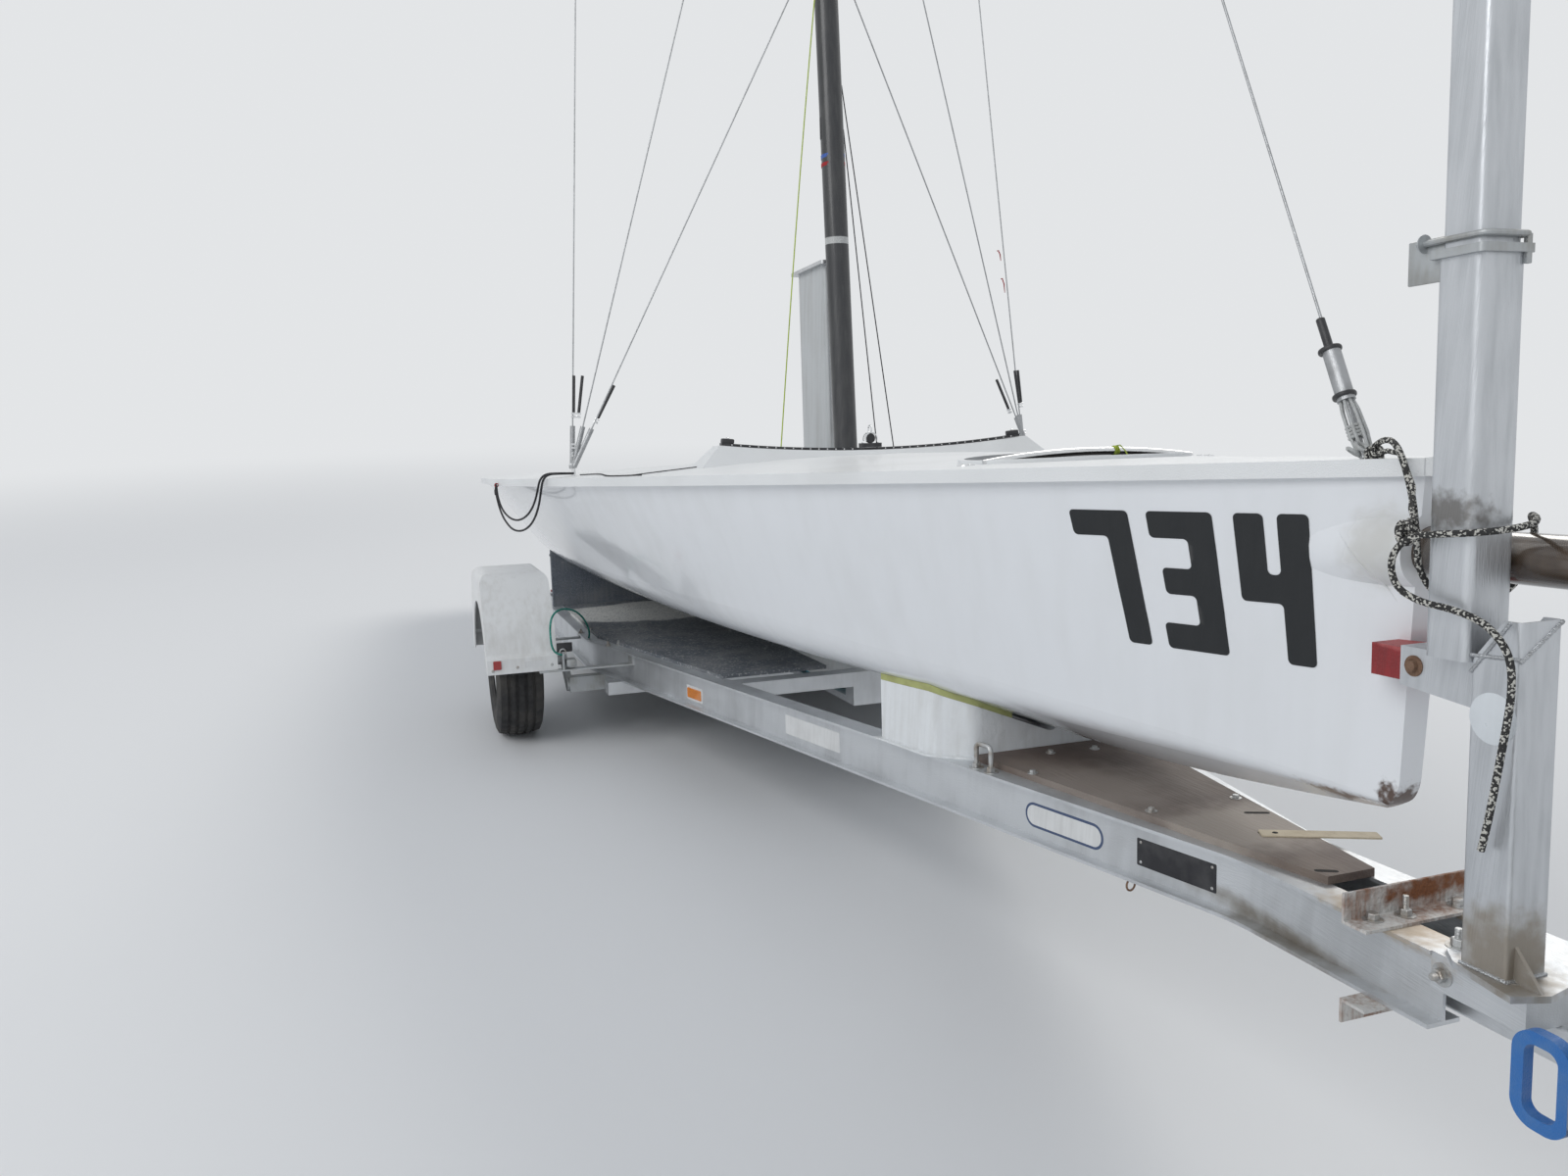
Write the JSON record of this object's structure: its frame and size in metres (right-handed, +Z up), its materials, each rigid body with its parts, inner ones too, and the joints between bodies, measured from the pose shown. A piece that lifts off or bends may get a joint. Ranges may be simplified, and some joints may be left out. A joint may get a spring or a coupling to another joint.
{
  "type": "lifting-keel sport dinghy on a road trailer",
  "caption": "Open sport dinghy with a lifting keel and stayed mast, parked nose up on an aluminium road trailer with a jockey wheel.",
  "frame": {"origin": "on the ground under the middle of the whole model's length and width", "axes": "+X towards the bow and the tow coupling, +Y to port, +Z up; the boat and trailer stand nose up by 6.3 degrees on the jockey wheel"},
  "size_m": [6.8542, 2.485, 9.3301],
  "materials": {
    "gelcoat": "gloss gelcoat",
    "deck_gelcoat": "satin gelcoat with moulded non-slip",
    "carbon": "clear-coated carbon fibre",
    "rail_alloy": "weathered mill finish",
    "post_alloy": "weathered extrusion",
    "galvanised": "galvanised, dulled",
    "stainless": "polished stainless",
    "black_fitting": "black moulding",
    "track_black": "black anodised",
    "fin_paint": "grey painted steel",
    "bulb_paint": "white paint over lead",
    "guard_plastic": "white moulded plastic",
    "tyre": "worn",
    "rim_paint": "silver paint",
    "jockey_rubber": "worn solid rubber",
    "ply": "weathered stained plywood",
    "floor_panel": "dark phenolic-faced ply",
    "chock_moulding": "weathered white fibreglass",
    "carpet": "blue-grey marine carpet",
    "foam": "closed-cell foam strip",
    "stop_red": "red rubber",
    "wire": "stainless wire",
    "cap_plate": "milled plate",
    "crutch": "black rubber-faced",
    "rusty_angle": "old white paint with brown rust",
    "rope_fleck": "black and white flecked braid",
    "rope_dark": "black braid",
    "rope_green": "green braid",
    "lamp_red": "red lamp lens",
    "grip_blue": "blue moulding"
  },
  "bodies": {
    "root": {"axle": "galvanised", "bow_rope": "rope_fleck", "bow_stop": "stop_red", "chainplates": "stainless", "chock_pads": "foam", "chute_hoop": "stainless", "coupling": "galvanised", "crossbeams": "rail_alloy", "deck": "deck_gelcoat", "drawbar": "rail_alloy", "forestay": "wire", "front_chock": "chock_moulding", "front_ply": "ply", "guard_brackets": "galvanised", "gudgeons": "stainless", "hull": "gelcoat", "jib_car": "black_fitting", "jib_moulding": "deck_gelcoat", "jib_track": "track_black", "jockey_clamp": "galvanised", "jockey_handle": "grip_blue", "jockey_tube": "galvanised", "keel_bed": "rail_alloy", "keel_bulb": "bulb_paint", "keel_cap": "cap_plate", "keel_fin": "fin_paint", "lower_post": "post_alloy", "mast": "carbon", "mast_step": "stainless", "mudguard_port": "guard_plastic", "mudguard_starboard": "guard_plastic", "nose_angles": "rusty_angle", "nose_box": "rail_alloy", "post_clamp": "galvanised", "rail_cord": "rope_green", "rail_port": "rail_alloy", "rail_starboard": "rail_alloy", "rear_cradle": "carpet", "shroud_cap_port": "wire", "shroud_cap_starboard": "wire", "shroud_inner_port": "wire", "shroud_inner_starboard": "wire", "shroud_lower_port": "wire", "shroud_lower_starboard": "wire", "spreaders": "carbon", "stern_rope": "rope_dark", "stop_arm": "post_alloy", "tail_lamps": "lamp_red", "trailer_floor": "floor_panel", "upper_post": "post_alloy"},
    "wheel_starboard": {"rim_starboard": "rim_paint", "tyre_starboard": "tyre"},
    "wheel_port": {"rim_port": "rim_paint", "tyre_port": "tyre"},
    "jockey_leg": {"jockey_leg": "galvanised"},
    "jockey_fork": {"jockey_fork": "galvanised"},
    "jockey_wheel": {"jockey_wheel": "jockey_rubber"},
    "bowsprit": {"bowsprit": "carbon"},
    "mast_rest": {"inner_post": "post_alloy", "mast_crutch": "crutch"}
  },
  "joints": [
    {"name": "wheel_starboard_spin", "type": "hinge", "parent": "root", "child": "wheel_starboard", "pos_m": [-1.03393, -1.11, 0.292], "axis": [0, 1, 0], "continuous": true},
    {"name": "wheel_port_spin", "type": "hinge", "parent": "root", "child": "wheel_port", "pos_m": [-1.03393, 1.11, 0.292], "axis": [0, 1, 0], "continuous": true},
    {"name": "jockey_lift", "type": "slide", "parent": "root", "child": "jockey_leg", "axis": [-0.1097, 0, 0.994], "range_m": [0, 0.2]},
    {"name": "jockey_caster", "type": "hinge", "parent": "jockey_leg", "child": "jockey_fork", "pos_m": [2.86407, -0.138, 0.26961], "axis": [-0.1097, 0, 0.994], "continuous": true},
    {"name": "jockey_wheel_spin", "type": "hinge", "parent": "jockey_fork", "child": "jockey_wheel", "pos_m": [2.84758, -0.138, 0.1], "axis": [0, 1, 0], "continuous": true},
    {"name": "bowsprit_slide", "type": "slide", "parent": "root", "child": "bowsprit", "axis": [0.994, 0, 0.1097], "range_m": [-0.3, 1.25]},
    {"name": "mast_rest_slide", "type": "slide", "parent": "root", "child": "mast_rest", "axis": [-0.1097, 0, 0.994], "range_m": [-0.1, 0.3]}
  ]
}
